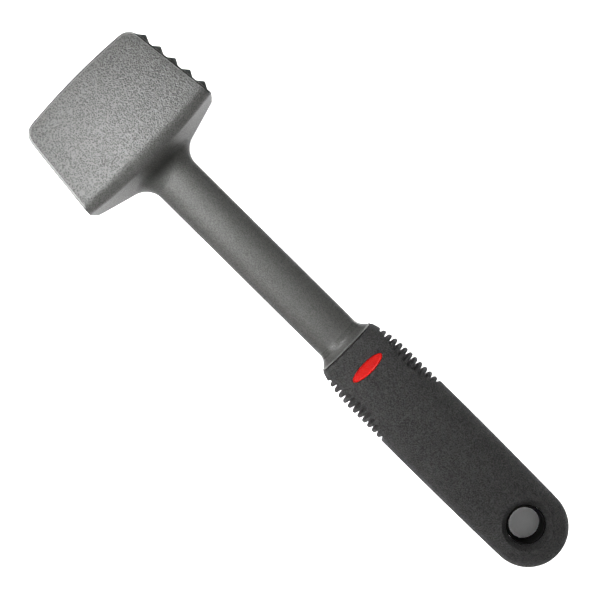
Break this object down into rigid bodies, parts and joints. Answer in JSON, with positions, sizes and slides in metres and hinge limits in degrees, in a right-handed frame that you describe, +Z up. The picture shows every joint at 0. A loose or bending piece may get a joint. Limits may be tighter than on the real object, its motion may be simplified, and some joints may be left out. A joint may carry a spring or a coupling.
{
  "type": "meat mallet",
  "caption": "Hand mallet for tenderising meat: a cast metal head with one toothed and one smooth face, on a slim neck, and a soft finned grip with a hanging hole.",
  "frame": {"origin": "middle of the mallet's footprint on the surface that it lies on", "axes": "+X along the mallet from its head to the tip of its handle, +Y the way the toothed face points, +Z up. The mallet lies on its side as it rests: its own long axis dips 3 degrees towards the handle."},
  "size_m": [0.3058, 0.0778, 0.05],
  "materials": {
    "cast_metal": "fine pebbled casting, satin, coated dark grey",
    "core_plastic": "moulded black plastic",
    "soft_rubber": "matte black soft grip with a fine grain",
    "badge_red": "glossy red",
    "eyelet_plastic": "glossy black",
    "pin_steel": "drawn steel"
  },
  "bodies": {
    "root": {"head_casting": "cast_metal", "handle_core": "core_plastic", "grip_sleeve": "soft_rubber", "badge": "badge_red", "hanging_eyelet": "eyelet_plastic", "tang_pin_front": "pin_steel", "tang_pin_rear": "pin_steel"}
  },
  "joints": []
}
